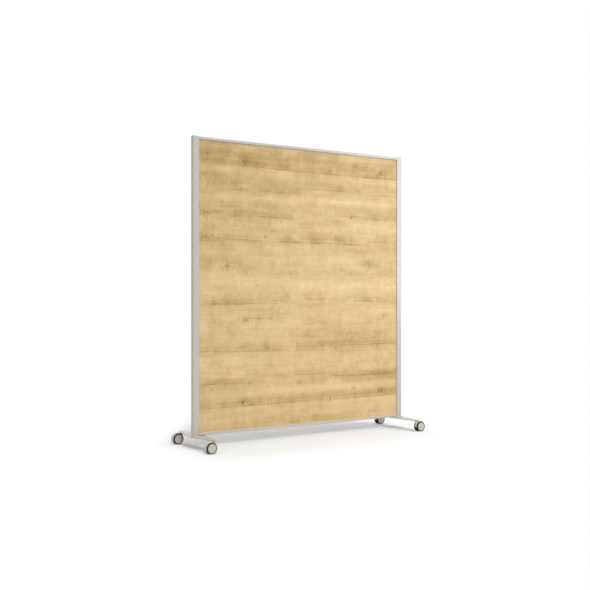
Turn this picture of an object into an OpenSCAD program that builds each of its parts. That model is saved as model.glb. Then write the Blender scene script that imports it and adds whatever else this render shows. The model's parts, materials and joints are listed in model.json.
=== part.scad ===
// Rolling partition: an oak-faced board held in a slim extruded frame, which stands on two
// boat-shaped foot plates with a hooded twin-wheel castor under each tip.
// Millimetres. X runs along the board, Y through its thickness (front is -Y), Z up.
// The origin is on the floor, below the middle of the board.

/* [Overall] */
// Width over the outer faces of the two posts
overall_w = 1600; // [900:10:2000]
// Height from the floor to the top of the post caps
overall_h = 1850; // [1200:10:2200]

/* [Board] */
// Thickness of the board
board_t = 18; // [14:0.5:20]
// Clearance between each face of the board and the lips that hold it
board_side_fit = 0.3; // [0.2:0.05:0.5]
// Clearance between the board's edges and the corner brackets, at the sides and the top
board_edge_gap = 1.5; // [1:0.1:3]

/* [Frame profiles] */
// Depth of posts and rails through the thickness of the board
frame_d = 30; // [28:0.5:36]
// Width of a post along the board
post_w = 40; // [38:0.5:50]
// Height of the top and bottom rails
rail_h = 18; // [17:0.5:24]
// Wall of the extruded profiles
wall = 2; // [1.6:0.1:2.2]
// Depth of the groove in a post
post_groove = 14; // [12:0.5:15]
// Depth of the groove in a rail
rail_groove = 9; // [8:0.5:9.5]
// Radius on the two outer corners of a post
post_corner_r = 5; // [3:0.5:6]
// Radius on the two outer corners of a rail
rail_corner_r = 4; // [2.5:0.5:5]
// Radius on the front and back edge of each lip
lip_edge_r = 3; // [1:0.5:3.5]
// Diameter of the round screw channels inside a post
channel_d = 9.5; // [9:0.1:10.5]
// Depth to which those channels merge with the front and back walls
channel_sink = 0.5; // [0.2:0.1:1]

/* [Post caps] */
// Thickness of a cap's visible plate
cap_t = 2; // [1.5:0.1:4]
// Length of the plug and pins that reach down into the post
cap_plug_l = 14; // [8:1:25]
// Clearance of the plug on each side
cap_fit = 0.15; // [0.1:0.05:0.4]

/* [Corner brackets] */
// Length of each leg of a corner bracket
bracket_leg = 75; // [70:1:110]
// Width of a bracket
bracket_w = 14; // [10:0.5:14]
// Thickness of a bracket
bracket_t = 2.5; // [2:0.1:3]
// Outside radius of the bend in a bracket
bend_r = 4; // [3.5:0.1:4]
// Distance from the bend to the first screw of each leg
bracket_screw_a = 30; // [24:1:34]
// Distance from the bend to the second screw of each leg
bracket_screw_b = 58; // [50:1:62]
// Diameter of the bracket screws
bracket_screw_d = 4; // [3:0.5:5]
// Diameter of the countersunk heads of those screws
bracket_head_d = 7.4; // [6.5:0.1:7.6]
// Length of the bracket screws over their heads
bracket_screw_l = 8; // [6:0.5:8.5]

/* [Foot plates] */
// Thickness of a foot plate
foot_t = 6; // [5:0.5:10]
// Width of a foot plate at its middle
foot_mid_w = 100; // [92:1:130]
// Radius of the round tip above each castor
foot_end_r = 14; // [12:0.5:20]
// Radius that softens the widest point of a foot plate
foot_waist_r = 40; // [15:5:45]
// Distance from a post's outer face in to the middle line of its foot plate
foot_inset = 35; // [26:1:40]
// Diameter of the screws that hold a post down on its foot plate
foot_screw_d = 6; // [5:0.5:6]
// Diameter of the countersunk heads of those screws
foot_head_d = 12; // [11:0.5:12.5]
// Length of those screws over their heads
foot_screw_l = 35; // [20:1:50]

/* [Castors] */
// Distance between the swivel axes of a front and a back castor
castor_spacing = 420; // [300:5:560]
// Diameter of the wheels over their tyres
wheel_d = 65; // [60:0.5:80]
// Distance from the swivel axis to the axle
trail = 25; // [22:0.5:28]
// Width of one tyre
tyre_w = 11; // [10:0.5:14]
// Thickness of a tyre from its seat to its tread
tyre_t = 5.5; // [4:0.5:7]
// Radius on the two outer edges of a tyre
tyre_edge_r = 3.5; // [1:0.5:4.5]
// Thickness of the housing between the two wheels
web_w = 16; // [15:0.5:20]
// Clearance between the housing and each wheel
web_gap = 1; // [0.8:0.1:2]
// Width of the hood over the wheels
hood_w = 26; // [22:0.5:34]
// Thickness of the hood
hood_t = 2.5; // [2:0.1:3.5]
// Clearance between the tyres and the hood
hood_gap = 1.5; // [1:0.1:3]
// Clearance between the hood and the foot plate above it
plate_gap = 1; // [0.6:0.1:3]
// Angle below the axle at which the hood ends, on the side away from the stem
hood_low_angle = 25; // [5:1:35]
// Diameter of the stem's socket in the housing, on the outside
boss_d = 21; // [19:0.5:26]
// Height of the socket's lower end above the floor
boss_foot_z = 30; // [24:0.5:32]

/* [Castor stems and axles] */
// Diameter of the stem where it screws into the foot plate
stem_thread_d = 10; // [8:1:12]
// Diameter of the stem where the housing turns on it
stem_pin_d = 11; // [9:0.5:12]
// Depth of the stem's end below the top of the foot plate
stem_recess = 0.5; // [0:0.1:2]
// Width across the flats of the stem's hexagon
hex_af = 17; // [13:1:19]
// Thickness of the hexagon
hex_t = 3; // [2:0.5:5]
// Clearance between the hexagon and the housing below it
swivel_gap = 0.5; // [0.3:0.1:1]
// Height of the stem's end above the foot of the socket
socket_floor = 4; // [2.5:0.5:6]
// Height of the stem's groove above its end
groove_up = 3; // [2:0.5:8]
// Height of that groove
groove_h = 2; // [1.8:0.1:3]
// Depth of that groove
groove_depth = 0.8; // [0.5:0.1:1.5]
// Thickness of the snap ring that lies in the groove
ring_t = 1.2; // [0.8:0.1:1.4]
// Width to which the snap ring stands out from the stem
ring_reach = 0.7; // [0.4:0.1:1.2]
// Clearance of the snap ring in both grooves
ring_fit = 0.1; // [0.05:0.05:0.2]
// Diameter of an axle
axle_d = 8; // [6:0.5:10]
// Running clearance on the radius of a stem or an axle
running_fit = 0.05; // [0.02:0.01:0.1]
// Clearance on the radius of a screw or a pressed pin in its hole
screw_fit = 0.05; // [0.02:0.01:0.2]
// Depth of the necks that the clips snap into
axle_neck = 0.7; // [0.4:0.1:1.2]
// Length of an axle past its clips
axle_end_l = 0.65; // [0.5:0.05:0.9]
// Thickness of the clips on an axle
clip_t = 0.7; // [0.6:0.1:0.9]
// Outside diameter of the clips
clip_d = 14; // [12:0.5:15]
// Diameter of the pads of the housing that the wheel hubs run against
thrust_d = 18; // [16:0.5:22]
// Play of a wheel along its axle
wheel_play = 0.3; // [0.3:0.05:0.5]

/* [Wheel centres] */
// Outside diameter of a wheel's hub
hub_d = 16; // [15:0.5:20]
// Thickness of the disc between the hub and the rim
disc_t = 2.5; // [2:0.1:4]
// Thickness of the rim under the tyre
rim_t = 3; // [2:0.1:4]
// Number of ribs between the hub and the rim
wheel_ribs = 6; // [3:1:10]
// Thickness of those ribs
rib_t = 1.6; // [1:0.1:2.5]
// Distance of the ribs' inner edges from the inner side of the wheel
rib_inset = 1.3; // [0.5:0.1:1.5]
// Height of the ribs over the outer face of the disc
rib_rise = 0.4; // [0.2:0.1:0.8]
// Distance from the outer end of the hub to the cap, where the axle's clip lies
hub_recess = 2.3; // [2.3:0.1:3]
// Distance from the inner side of the rim out to the tyre
tyre_inset = 0.5; // [0.2:0.1:1]

/* [Wheel caps] */
// Thickness of a wheel cap at its edge
wheel_cap_t = 1.7; // [1.2:0.1:2.5]
// Height of the dome of a wheel cap
cap_dome = 0.8; // [0.3:0.1:1.5]
// Bevel around the edge of a wheel cap
cap_bevel = 0.6; // [0.3:0.1:1]
// Clearance between the edge of a wheel cap and its tyre
cap_edge_fit = 0.3; // [0.2:0.05:0.5]
// Diameter of the shallow ring groove in a wheel cap
cap_ring_d = 42; // [30:1:46]
// Width of that groove
cap_ring_w = 0.8; // [0.5:0.1:1.5]
// Depth of that groove
cap_ring_depth = 0.35; // [0.2:0.05:0.6]
// Length of the skirt that snaps inside the rim
skirt_l = 2.6; // [1.5:0.1:2.8]
// Thickness of the skirt
skirt_t = 1.5; // [1:0.1:2]
// Clearance between the skirt and the rim, and between its end and the ribs
skirt_fit = 0.1; // [0.05:0.05:0.2]

/* [Hidden] */
$fn = 64;

CORNERS = ["front_left", "front_right", "back_left", "back_right"];
SIDES = ["left", "right"];
WHEELS = ["fore", "aft"];
CASTOR_PIECES = ["stem", "ring", "housing", "axle", "clips"];
WHEEL_PIECES = ["rim", "tyre", "cap"];

GREIGE = [0.78, 0.76, 0.71];
OAK = [0.85, 0.74, 0.55];
STEEL = [0.66, 0.67, 0.68];
RIM_GREY = [0.32, 0.32, 0.32];
RUBBER = [0.14, 0.14, 0.14];

// A cut runs this far past the face that it opens
past = 1;

// Heights of the castors, the foot plates and the frame
wheel_r = wheel_d / 2;
hood_in_r = wheel_r + hood_gap;
hood_out_r = hood_in_r + hood_t;
foot_bottom_z = wheel_r + hood_out_r + plate_gap;
foot_top_z = foot_bottom_z + foot_t;
frame_top_z = overall_h - cap_t;

// Grooves, measured from the outer face of each profile
post_floor = post_w - post_groove;
rail_floor = rail_h - rail_groove;
slot_w = board_t + 2 * board_side_fit;
lip_t = wall;
rail_l = overall_w - 2 * post_w;

// The board stands on the lower brackets and clears the others
board_l = overall_w - 2 * (post_floor + bracket_t + board_edge_gap);
board_bottom_z = foot_top_z + rail_floor + bracket_t;
board_top_z = frame_top_z - rail_floor - bracket_t - board_edge_gap;

// Screw channels of a post, in its hollow chamber
channel_in = post_floor / 2;
channel_y = frame_d / 2 - wall - channel_d / 2 + channel_sink;

// Wheels, measured out from the middle plane of a castor
wheel_in = web_w / 2 + web_gap;
tyre_in = wheel_in + tyre_inset;
tyre_out = tyre_in + tyre_w;
cap_seat = tyre_out - wheel_cap_t - cap_dome;
skirt_end = cap_seat - skirt_l;
rib_in = wheel_in + rib_inset;
rib_out = skirt_end - 5 * skirt_fit;
disc_out = rib_out - rib_rise;
disc_in = disc_out - disc_t;
hub_out = cap_seat - hub_recess;

// Wheels, measured out from their axle
seat_r = wheel_r - tyre_t;
rim_in_r = seat_r - rim_t;
hub_r = hub_d / 2;

// Axle and clips, measured out from the middle plane of a castor
thrust_out = wheel_in - wheel_play;
clip_in = hub_out + wheel_play;
clip_out = clip_in + clip_t;
axle_half = clip_out + axle_end_l;
axle_r = axle_d / 2;
axle_neck_r = axle_r - axle_neck;

// Stem and socket
boss_top_z = foot_bottom_z - hex_t - swivel_gap;
stem_foot_z = boss_foot_z + socket_floor;
stem_chamfer = 1;
pin_r = stem_pin_d / 2;
groove_r = pin_r - groove_depth;
groove_z = stem_foot_z + groove_up;
ring_in_r = groove_r + ring_fit;
ring_out_r = pin_r + ring_reach;
ring_z = groove_z + (groove_h - ring_t) / 2;

// ---------------------------------------------------------------- placing

// Takes a piece drawn from the left post's outer face inwards to its own side
module at_side(side) {
    if (side == "left")
        translate([-overall_w / 2, 0, 0]) children();
    else
        mirror([1, 0, 0]) translate([-overall_w / 2, 0, 0]) children();
}

// Takes a piece drawn at the lower left corner of the frame to one of its four corners.
// Its own origin is on the floor of the post's groove and on the floor of the rail's groove.
module at_frame_corner(side, top) {
    at_side(side)
        if (top)
            translate([post_floor, 0, frame_top_z - rail_floor]) mirror([0, 0, 1]) children();
        else
            translate([post_floor, 0, foot_top_z + rail_floor]) children();
}

// Takes a castor piece, drawn with its swivel axis on Z and its axle out along +X, to its corner
module at_castor(corner) {
    left = corner == "front_left" || corner == "back_left";
    front = corner == "front_left" || corner == "front_right";
    at_side(left ? "left" : "right")
        translate([foot_inset, (front ? -1 : 1) * castor_spacing / 2, 0])
            mirror([1, 0, 0]) children();
}

// Takes a piece drawn around Z to a castor's axle, with +Z turned out to the front or the back
module on_axle(wheel) {
    translate([trail, 0, wheel_r])
        rotate([wheel == "fore" ? 90 : -90, 0, 0]) children();
}

// ---------------------------------------------------------------- frame

// Section of a closed profile with a board groove: the outer face on y = 0, the lips at y = high
module channel_section(high, groove, corner_r) {
    half = frame_d / 2;
    inner_r = corner_r - wall / 2;
    floor_y = high - groove;
    chamber_top = floor_y - wall;
    difference() {
        union() {
            translate([-half, corner_r]) square([frame_d, high - corner_r - lip_edge_r]);
            translate([corner_r - half, 0]) square([frame_d - 2 * corner_r, high / 2]);
            translate([lip_edge_r - half, high / 2]) square([frame_d - 2 * lip_edge_r, high / 2]);
            for (s = [-1, 1]) {
                translate([s * (half - corner_r), corner_r]) circle(r = corner_r);
                translate([s * (half - lip_edge_r), high - lip_edge_r]) circle(r = lip_edge_r);
            }
        }
        // Closed chamber
        translate([inner_r + wall - half, wall])
            square([frame_d - 2 * (wall + inner_r), chamber_top - wall]);
        translate([wall - half, wall + inner_r])
            square([frame_d - 2 * wall, chamber_top - wall - inner_r]);
        for (s = [-1, 1])
            translate([s * (half - wall - inner_r), wall + inner_r]) circle(r = inner_r);
        // Groove, wide behind the lips and narrow between them
        translate([wall - half, floor_y]) square([frame_d - 2 * wall, groove - lip_t]);
        translate([-slot_w / 2, floor_y]) square([slot_w, groove + past]);
    }
}

// Section of a post: the groove profile with two round screw channels on its inner walls
module post_section() {
    difference() {
        union() {
            channel_section(post_w, post_groove, post_corner_r);
            for (s = [-1, 1]) translate([s * channel_y, channel_in]) circle(d = channel_d);
        }
        for (s = [-1, 1])
            translate([s * channel_y, channel_in]) circle(d = foot_screw_d + 2 * screw_fit);
    }
}

module post(side) {
    color(GREIGE)
        difference() {
            at_side(side)
                translate([0, 0, foot_top_z])
                    rotate([0, 0, -90]) linear_extrude(frame_top_z - foot_top_z) post_section();
            // Holes for the bracket screws, through the floor of the groove
            for (top = [false, true])
                at_frame_corner(side, top)
                    for (z = [bracket_screw_a, bracket_screw_b])
                        translate([-wall - past, 0, z])
                            rotate([0, 90, 0]) screw_hole(bracket_screw_d, wall + 2 * past);
        }
}

module rail(top) {
    color(GREIGE)
        difference() {
            translate([0, 0, top ? frame_top_z : foot_top_z])
                mirror([0, 0, top ? 1 : 0])
                    rotate([90, 0, 90])
                        linear_extrude(rail_l, center = true)
                            channel_section(rail_h, rail_groove, rail_corner_r);
            for (side = SIDES)
                at_frame_corner(side, top)
                    for (x = [bracket_screw_a, bracket_screw_b])
                        translate([x, 0, -wall - past]) screw_hole(bracket_screw_d, wall + 2 * past);
        }
}

// The visible plate has the post's outline; the plug sits between the screw channels and the
// two pins sit in them
module post_cap(side) {
    plug_w = 2 * (channel_y - channel_d / 2 - cap_fit);
    color(GREIGE)
        at_side(side) {
            translate([0, 0, frame_top_z]) rotate([0, 0, -90]) linear_extrude(cap_t) cap_section();
            translate([wall + cap_fit, -plug_w / 2, frame_top_z - cap_plug_l])
                cube([post_floor - 2 * (wall + cap_fit), plug_w, cap_plug_l]);
            for (s = [-1, 1])
                translate([channel_in, s * channel_y, frame_top_z - cap_plug_l])
                    cylinder(d = foot_screw_d, h = cap_plug_l);
        }
}

// Outline of a post, without its groove and chamber
module cap_section() {
    half = frame_d / 2;
    translate([-half, post_corner_r]) square([frame_d, post_w - post_corner_r - lip_edge_r]);
    translate([post_corner_r - half, 0]) square([frame_d - 2 * post_corner_r, post_w / 2]);
    translate([lip_edge_r - half, post_w / 2]) square([frame_d - 2 * lip_edge_r, post_w / 2]);
    for (s = [-1, 1]) {
        translate([s * (half - post_corner_r), post_corner_r]) circle(r = post_corner_r);
        translate([s * (half - lip_edge_r), post_w - lip_edge_r]) circle(r = lip_edge_r);
    }
}

module panel_board() {
    color(OAK)
        translate([-board_l / 2, -board_t / 2, board_bottom_z])
            cube([board_l, board_t, board_top_z - board_bottom_z]);
}

// ---------------------------------------------------------------- fasteners

// A round hole along +Z for a screw of this diameter
module screw_hole(d, h) {
    cylinder(d = d + 2 * screw_fit, h = h);
}

// A countersunk hole that opens at z = 0 and runs down through this thickness
module countersunk_hole(d, head_d, thick) {
    depth = (head_d - d) / 2;
    translate([0, 0, -thick - past]) screw_hole(d, thick + 2 * past);
    translate([0, 0, -depth])
        cylinder(d1 = d + 2 * screw_fit, d2 = head_d + 2 * screw_fit, h = depth);
    cylinder(d = head_d + 2 * screw_fit, h = past);
}

// A countersunk screw with a hexagon socket: its head is flush with z = 0, its shank points down
module countersunk_screw(d, head_d, length) {
    depth = (head_d - d) / 2;
    tip = d / 8;
    difference() {
        rotate_extrude()
            polygon([
                [0, 0], [head_d / 2, 0], [d / 2, -depth],
                [d / 2, tip - length], [d / 2 - tip, -length], [0, -length]
            ]);
        translate([0, 0, -depth * 0.8]) cylinder(d = d * 0.7, h = depth, $fn = 6);
    }
}

// Side view of a bent bracket: two legs of equal length with a round bend between them
module bracket_section() {
    difference() {
        union() {
            square([bracket_leg, bracket_t]);
            square([bracket_t, bracket_leg]);
            square(bend_r);
        }
        difference() {
            translate([-past, -past]) square(bend_r + past);
            translate([bend_r, bend_r]) circle(r = bend_r);
        }
        translate([bend_r, bend_r]) circle(r = bend_r - bracket_t);
    }
}

// Every screw place of a bracket, as the frame that its screw is drawn in
module at_bracket_screws() {
    for (d = [bracket_screw_a, bracket_screw_b]) {
        translate([d, 0, bracket_t]) children();
        translate([bracket_t, 0, d]) rotate([0, 90, 0]) children();
    }
}

module corner_bracket() {
    difference() {
        rotate([90, 0, 0]) linear_extrude(bracket_w, center = true) bracket_section();
        at_bracket_screws() countersunk_hole(bracket_screw_d, bracket_head_d, bracket_t);
    }
}

module corner_brackets() {
    color(STEEL)
        for (side = SIDES) for (top = [false, true]) at_frame_corner(side, top) corner_bracket();
}

module bracket_screws() {
    color(STEEL)
        for (side = SIDES) for (top = [false, true])
            at_frame_corner(side, top)
                at_bracket_screws()
                    countersunk_screw(bracket_screw_d, bracket_head_d, bracket_screw_l);
}

// Every place where a screw comes up through a foot plate, as the frame that it is drawn in
module at_foot_screws() {
    for (s = [-1, 1])
        translate([channel_in, s * channel_y, foot_bottom_z]) mirror([0, 0, 1]) children();
}

module foot_screws() {
    color(STEEL)
        for (side = SIDES)
            at_side(side)
                at_foot_screws() countersunk_screw(foot_screw_d, foot_head_d, foot_screw_l);
}

// ---------------------------------------------------------------- foot plates

// The straight sides of a foot plate touch the round tips and a large circle on each flank, whose
// outermost point is the widest point of the plate. The sides lean from the Y axis by this angle.
foot_half_l = castor_spacing / 2;
flank_x = foot_mid_w / 2 - foot_waist_r;
side_angle = atan2(foot_half_l, -flank_x)
    - acos((foot_waist_r - foot_end_r) / norm([flank_x, foot_half_l]));

// Where the side in the quarter q, such as [1, -1], touches the flank and the tip
function flank_touch(q) =
    [q.x * (flank_x + foot_waist_r * cos(side_angle)), q.y * foot_waist_r * sin(side_angle)];
function tip_touch(q) =
    [q.x * foot_end_r * cos(side_angle), q.y * (foot_half_l + foot_end_r * sin(side_angle))];

module foot_section() {
    polygon([
        flank_touch([1, 1]), tip_touch([1, 1]), tip_touch([-1, 1]), flank_touch([-1, 1]),
        flank_touch([-1, -1]), tip_touch([-1, -1]), tip_touch([1, -1]), flank_touch([1, -1])
    ]);
    for (s = [-1, 1]) {
        translate([s * flank_x, 0]) circle(r = foot_waist_r);
        translate([0, s * foot_half_l]) circle(r = foot_end_r);
    }
}

module foot_plate(side) {
    color(GREIGE)
        at_side(side)
            difference() {
                translate([foot_inset, 0, foot_bottom_z]) linear_extrude(foot_t) foot_section();
                for (s = [-1, 1])
                    translate([foot_inset, s * foot_half_l, foot_bottom_z - past])
                        screw_hole(stem_thread_d, foot_t + 2 * past);
                at_foot_screws() countersunk_hole(foot_screw_d, foot_head_d, foot_t);
            }
}

// ---------------------------------------------------------------- castors

// Screwed end, hexagon and a pivot pin with a groove for the snap ring
module castor_stem() {
    thread_r = stem_thread_d / 2;
    top_z = foot_top_z - stem_recess;
    hex_z = foot_bottom_z - hex_t;
    color(STEEL) {
        rotate_extrude()
            polygon([
                [0, stem_foot_z], [pin_r - stem_chamfer, stem_foot_z],
                [pin_r, stem_foot_z + stem_chamfer], [pin_r, groove_z],
                [groove_r, groove_z], [groove_r, groove_z + groove_h],
                [pin_r, groove_z + groove_h], [pin_r, hex_z + hex_t / 2],
                [thread_r, hex_z + hex_t / 2], [thread_r, top_z - stem_chamfer],
                [thread_r - stem_chamfer, top_z], [0, top_z]
            ]);
        translate([0, 0, hex_z]) cylinder(d = hex_af / cos(30), h = hex_t, $fn = 6);
    }
}

// Split ring that lies in the stem's groove and holds the housing on the stem
module castor_ring() {
    color(STEEL)
        difference() {
            translate([0, 0, ring_z]) cylinder(r = ring_out_r, h = ring_t);
            translate([0, 0, ring_z - past]) cylinder(r = ring_in_r, h = ring_t + 2 * past);
            translate([0, -ring_t / 2, ring_z - past]) cube([boss_d, ring_t, ring_t + 2 * past]);
        }
}

// Side view of the housing between the wheels, around the axle: a round disc that is cut off
// along a line from the foot of the socket to the lower end of the hood
module web_section() {
    low = [-trail - boss_d / 2, boss_foot_z - wheel_r];
    tip = hood_out_r * [cos(hood_low_angle), -sin(hood_low_angle)];
    far = hood_out_r + past;
    intersection() {
        circle(r = hood_out_r);
        polygon([low, tip, [far, tip.y], [far, far], [low.x, far]]);
    }
    circle(d = thrust_d);
}

// Section of the hood, with round edges, at its distance from the axle
module hood_section() {
    edge_r = hood_t * 0.4;
    translate([hood_in_r, -hood_w / 2 + edge_r]) square([hood_t, hood_w - 2 * edge_r]);
    translate([hood_in_r + edge_r, -hood_w / 2]) square([hood_t - 2 * edge_r, hood_w]);
    for (s = [-1, 1]) for (r = [hood_in_r + edge_r, hood_out_r - edge_r])
        translate([r, s * (hood_w / 2 - edge_r)]) circle(r = edge_r);
}

// Web between the wheels, hood over them and the socket that the stem turns in
module castor_housing() {
    // The hood ends above the socket, halfway between the stem's axis and the socket's flank
    hood_end = acos((boss_d / 4 - trail) / hood_out_r);
    color(GREIGE)
        difference() {
            union() {
                translate([trail, 0, wheel_r])
                    rotate([90, 0, 0]) {
                        linear_extrude(web_w, center = true) web_section();
                        cylinder(d = thrust_d, h = 2 * thrust_out, center = true);
                        rotate([0, 0, -hood_low_angle])
                            rotate_extrude(angle = hood_low_angle + hood_end) hood_section();
                    }
                difference() {
                    translate([0, 0, boss_foot_z]) cylinder(d = boss_d, h = boss_top_z - boss_foot_z);
                    // The socket is only as wide as the web where the wheels pass it
                    for (wheel = WHEELS)
                        on_axle(wheel)
                            translate([0, 0, web_w / 2])
                                cylinder(r = hood_in_r + hood_t / 2, h = boss_d);
                }
            }
            // The hood and the web are level with the socket around the stem's hexagon
            translate([0, 0, boss_top_z]) cylinder(d = boss_d, h = foot_bottom_z);
            translate([0, 0, stem_foot_z - swivel_gap])
                cylinder(r = pin_r + running_fit, h = foot_bottom_z);
            translate([0, 0, ring_z - ring_fit])
                cylinder(r = ring_out_r + ring_fit, h = ring_t + 2 * ring_fit);
            on_axle("aft") cylinder(r = axle_r + screw_fit / 2, h = 2 * web_w, center = true);
        }
}

// A pin pressed through the housing, with a neck for a clip near each end
module castor_axle() {
    chamfer = 0.3;
    half = [
        [axle_r, clip_in], [axle_neck_r, clip_in], [axle_neck_r, clip_out],
        [axle_r, clip_out], [axle_r, axle_half - chamfer], [axle_r - chamfer, axle_half]
    ];
    color(STEEL)
        on_axle("aft")
            rotate_extrude()
                polygon(concat(
                    [[0, -axle_half]],
                    [for (i = [len(half) - 1 : -1 : 0]) [half[i].x, -half[i].y]],
                    half,
                    [[0, axle_half]]
                ));
}

// Two clips that snap into the necks of the axle, open towards the floor
module castor_clips() {
    color(STEEL)
        for (wheel = WHEELS)
            on_axle(wheel)
                translate([0, 0, clip_in])
                    difference() {
                        cylinder(d = clip_d, h = clip_t);
                        translate([0, 0, -past]) cylinder(r = axle_neck_r, h = clip_t + 2 * past);
                        translate([-axle_neck_r, wheel == "fore" ? -clip_d : 0, -past])
                            cube([2 * axle_neck_r, clip_d, clip_t + 2 * past]);
                    }
}

// Moulded wheel centre: hub, disc with ribs and the rim that carries the tyre
module wheel_rim(wheel) {
    bore_r = axle_r + running_fit;
    color(RIM_GREY)
        on_axle(wheel) {
            rotate_extrude()
                polygon([
                    [bore_r, wheel_in], [hub_r, wheel_in], [hub_r, disc_in],
                    [rim_in_r, disc_in], [rim_in_r, wheel_in], [seat_r, wheel_in],
                    [seat_r, cap_seat], [rim_in_r, cap_seat], [rim_in_r, disc_out],
                    [hub_r, disc_out], [hub_r, hub_out], [bore_r, hub_out]
                ]);
            for (i = [0 : wheel_ribs - 1])
                rotate([0, 0, 360 / wheel_ribs * i])
                    translate([hub_r - past, -rib_t / 2, rib_in])
                        cube([rim_in_r - hub_r + 2 * past, rib_t, rib_out - rib_in]);
        }
}

// Soft tyre with a round shoulder on each side
module wheel_tyre(wheel) {
    r = tyre_edge_r;
    color(RUBBER)
        on_axle(wheel)
            rotate_extrude()
                intersection() {
                    translate([seat_r, tyre_in]) square([tyre_t, tyre_w]);
                    union() {
                        translate([seat_r, tyre_in]) square([tyre_t - r, tyre_w]);
                        translate([seat_r, tyre_in + r]) square([tyre_t, tyre_w - 2 * r]);
                        for (a = [tyre_in + r, tyre_out - r]) translate([wheel_r - r, a]) circle(r = r);
                    }
                }
}

// Domed disc over the outside of a wheel, held by a skirt that snaps inside the rim. Its face
// falls by the dome's height from the middle to the edge, as the square of the radius.
module wheel_cap(wheel) {
    cap_r = seat_r - cap_edge_fit;
    skirt_r = rim_in_r - skirt_fit;
    ring_r = cap_ring_d / 2;
    inside = ring_r - cap_ring_w / 2;
    outside = ring_r + cap_ring_w / 2;
    dome_steps = 10;
    function face(r) = tyre_out - cap_dome * pow(r / cap_r, 2);
    color(GREIGE)
        on_axle(wheel)
            rotate_extrude()
                polygon(concat(
                    [[0, cap_seat], [skirt_r - skirt_t, cap_seat], [skirt_r - skirt_t, skirt_end]],
                    [[skirt_r, skirt_end], [skirt_r, cap_seat], [cap_r, cap_seat]],
                    [[cap_r, face(cap_r) - cap_bevel], [cap_r - cap_bevel, face(cap_r - cap_bevel)]],
                    [[outside, face(outside)], [ring_r, face(ring_r) - cap_ring_depth]],
                    [for (i = [dome_steps : -1 : 0]) let (r = inside * i / dome_steps) [r, face(r)]]
                ));
}

// ---------------------------------------------------------------- nodes

panel_board();
rail(true);  // top_rail
rail(false);  // bottom_rail
corner_brackets();
bracket_screws();
foot_screws();
for (side = SIDES) {
    post(side);
    post_cap(side);
    foot_plate(side);
}
for (corner = CORNERS) {
    at_castor(corner) castor_stem();
    at_castor(corner) castor_ring();
    at_castor(corner) castor_housing();
    at_castor(corner) castor_axle();
    at_castor(corner) castor_clips();
    for (wheel = WHEELS) {
        name = str(corner, "_", wheel);
        at_castor(corner) wheel_rim(wheel);
        at_castor(corner) wheel_tyre(wheel);
        at_castor(corner) wheel_cap(wheel);
    }
}
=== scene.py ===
"""Looks of a rolling partition: oak board, powder-coated frame, hooded twin-wheel castors.

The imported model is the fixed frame. This script dresses its nodes with procedural materials, stands
finer surfaces in for the pieces whose curves show, and sets up the floor, the lights and the camera.
Lengths are metres. X runs along the board, Y through it (the front is -Y), Z is up.
"""

import json
import logging
import math
from dataclasses import dataclass, field
from enum import Enum
from typing import Callable, Sequence, Union

import bmesh
import bpy
import numpy as np
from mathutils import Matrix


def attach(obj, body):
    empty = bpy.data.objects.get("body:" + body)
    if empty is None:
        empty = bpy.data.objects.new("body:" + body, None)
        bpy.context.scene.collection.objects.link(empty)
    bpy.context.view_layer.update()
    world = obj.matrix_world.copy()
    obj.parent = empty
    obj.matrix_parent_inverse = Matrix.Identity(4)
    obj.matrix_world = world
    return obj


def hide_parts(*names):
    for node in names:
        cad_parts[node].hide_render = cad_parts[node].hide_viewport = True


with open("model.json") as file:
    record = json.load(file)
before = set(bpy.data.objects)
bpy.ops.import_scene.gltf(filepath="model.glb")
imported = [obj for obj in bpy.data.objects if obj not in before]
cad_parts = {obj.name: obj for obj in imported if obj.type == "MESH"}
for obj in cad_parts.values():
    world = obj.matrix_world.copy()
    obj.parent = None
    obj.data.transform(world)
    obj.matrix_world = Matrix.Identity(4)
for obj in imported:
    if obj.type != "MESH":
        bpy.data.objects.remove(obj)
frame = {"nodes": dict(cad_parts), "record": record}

LOG = logging.getLogger("partition")

Socket = bpy.types.NodeSocket
Number = Union[float, Socket]
Span = tuple[float, float]
Triple = tuple[float, float, float]
Vectorlike = Union[Triple, Socket]
EdgeTest = Callable[[np.ndarray], np.ndarray]

SMOOTH_ANGLE = math.radians(40)
"""Faces that meet at a smaller angle than this one are shaded as one."""


# ---------------------------------------------------------------- small helpers


def linear(red: int, green: int, blue: int) -> Triple:
    """Turns a display colour into the linear one that a shader takes.

    Args:
        red, green, blue: display values from 0 to 255.

    Returns:
        The same colour in linear values, by the sRGB curve.
    """

    def one(value: int) -> float:
        """Turns one display value into its linear one."""
        share = value / 255
        return share / 12.92 if share <= 0.04045 else ((share + 0.055) / 1.055) ** 2.4

    return one(red), one(green), one(blue)


@dataclass(frozen=True)
class Noise:
    """A noise texture: its cells per metre, its finer layers, and what each of them keeps."""

    scale: float
    detail: float = 2.0
    roughness: float = 0.5


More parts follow.
